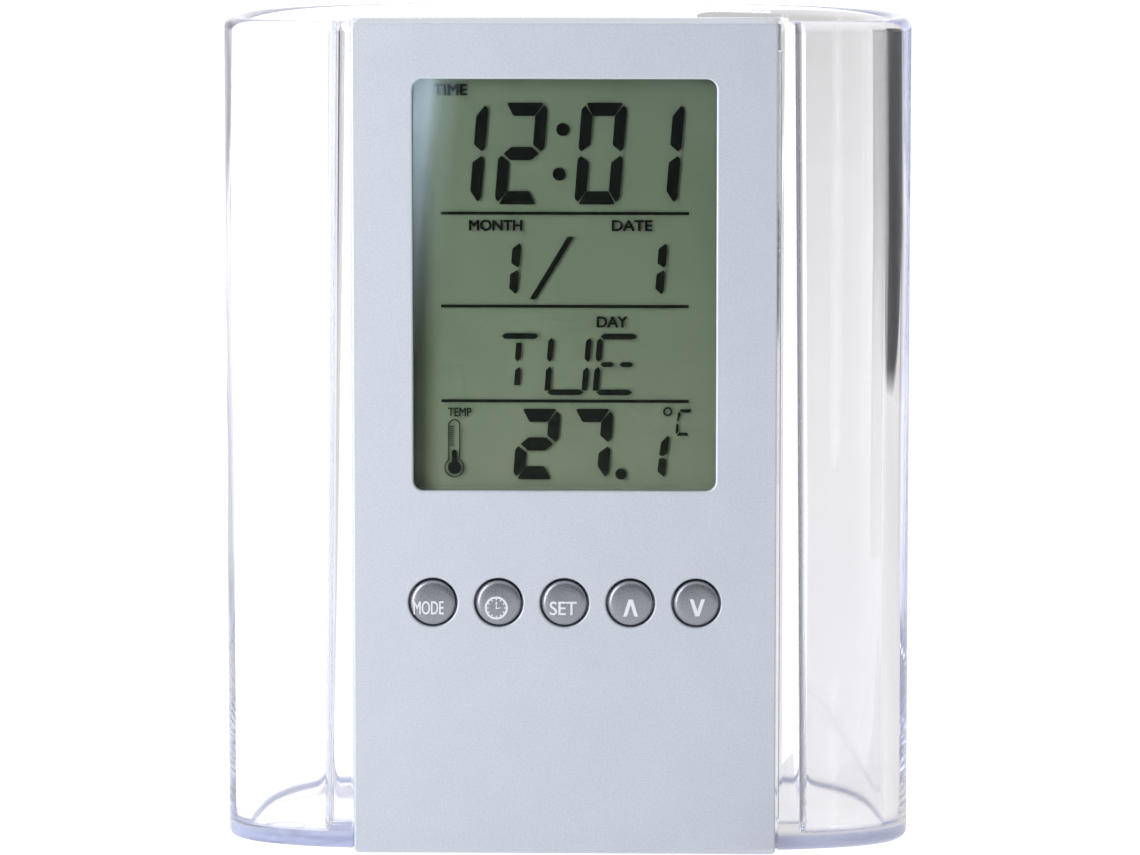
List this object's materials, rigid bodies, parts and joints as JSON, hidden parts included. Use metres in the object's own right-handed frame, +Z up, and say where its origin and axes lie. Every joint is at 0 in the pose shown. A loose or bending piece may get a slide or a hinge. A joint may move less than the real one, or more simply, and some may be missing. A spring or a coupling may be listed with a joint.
{
  "type": "pen holder clock",
  "caption": "Clear D-shaped pen cup with a slot in its front that holds a removable silver LCD clock module showing time, date, weekday and temperature, with a row of round push buttons.",
  "frame": {"origin": "centre of the footprint, on the surface the holder stands on", "axes": "+Z up, the display faces -Y, +X to the right as seen from the front"},
  "size_m": [0.083, 0.0494, 0.1],
  "materials": {
    "clear_plastic": "water-clear moulded polystyrene, polished",
    "foot_pad": "clear soft plastic dot",
    "silver_paint": "silver metallic paint on moulded plastic, satin",
    "case_plastic": "silver-grey moulded plastic, fine spark texture",
    "lens_acrylic": "clear acrylic window",
    "polariser_film": "grey-green polariser film",
    "display_glass": "thin polished glass",
    "reflector_film": "satin reflector film",
    "white_plastic": "white moulded plastic",
    "connector_rubber": "layered conductive rubber strip",
    "board_laminate": "green solder-masked laminate",
    "black_epoxy": "black epoxy",
    "tinned_metal": "bright tinned can",
    "ceramic": "fired ceramic",
    "black_bead": "black resin bead",
    "brass": "thin sheet",
    "red_wire": "red insulation",
    "black_wire": "black insulation",
    "silicone": "moulded silicone",
    "button_plastic": "grey metallic paint, satin",
    "carbon_rubber": "carbon pill",
    "nickel_plate": "nickel plated",
    "screw_steel": "zinc plated, cross recess"
  },
  "bodies": {
    "holder": {"cup": "clear_plastic", "foot_front_left": "foot_pad", "foot_front_right": "foot_pad", "foot_back_left": "foot_pad", "foot_back_right": "foot_pad"},
    "module": {"front_panel": "silver_paint", "rear_case": "case_plastic", "display_lens": "lens_acrylic", "lcd_polariser": "polariser_film", "lcd_front_glass": "display_glass", "lcd_rear_glass": "display_glass", "lcd_reflector": "reflector_film", "lcd_frame": "white_plastic", "zebra_lower": "connector_rubber", "zebra_upper": "connector_rubber", "circuit_board": "board_laminate", "chip_blob": "black_epoxy", "chip_resistor": "black_epoxy", "crystal": "tinned_metal", "chip_capacitor": "ceramic", "buzzer_ceramic": "ceramic", "thermistor": "black_bead", "buzzer_disc": "brass", "buzzer_wire_red": "red_wire", "buzzer_wire_black": "black_wire", "keypad_sheet": "silicone", "button_cell": "nickel_plate", "contact_plus": "nickel_plate", "contact_minus": "nickel_plate", "case_screw_1": "screw_steel", "case_screw_2": "screw_steel", "case_screw_3": "screw_steel", "case_screw_4": "screw_steel", "board_screw_1": "screw_steel", "board_screw_2": "screw_steel", "board_screw_3": "screw_steel", "board_screw_4": "screw_steel"},
    "key_mode": {"button_mode": "button_plastic", "plunger_mode": "carbon_rubber"},
    "key_alarm": {"button_alarm": "button_plastic", "plunger_alarm": "carbon_rubber"},
    "key_set": {"button_set": "button_plastic", "plunger_set": "carbon_rubber"},
    "key_up": {"button_up": "button_plastic", "plunger_up": "carbon_rubber"},
    "key_down": {"button_down": "button_plastic", "plunger_down": "carbon_rubber"},
    "battery_cover": {"battery_cover": "case_plastic"}
  },
  "joints": [
    {"name": "module_lift", "type": "slide", "parent": "holder", "child": "module", "axis": [0, 0, 1], "range_m": [0, 0.1]},
    {"name": "mode_press", "type": "slide", "parent": "module", "child": "key_mode", "axis": [0, 1, 0], "range_m": [0, 0.0008], "stiffness_N_per_m": 600},
    {"name": "alarm_press", "type": "slide", "parent": "module", "child": "key_alarm", "axis": [0, 1, 0], "range_m": [0, 0.0008], "stiffness_N_per_m": 600},
    {"name": "set_press", "type": "slide", "parent": "module", "child": "key_set", "axis": [0, 1, 0], "range_m": [0, 0.0008], "stiffness_N_per_m": 600},
    {"name": "up_press", "type": "slide", "parent": "module", "child": "key_up", "axis": [0, 1, 0], "range_m": [0, 0.0008], "stiffness_N_per_m": 600},
    {"name": "down_press", "type": "slide", "parent": "module", "child": "key_down", "axis": [0, 1, 0], "range_m": [0, 0.0008], "stiffness_N_per_m": 600},
    {"name": "battery_cover_twist", "type": "hinge", "parent": "module", "child": "battery_cover", "pos_m": [0, -0.01285, 0.015], "axis": [0, 1, 0], "range_deg": [0, 90]}
  ]
}
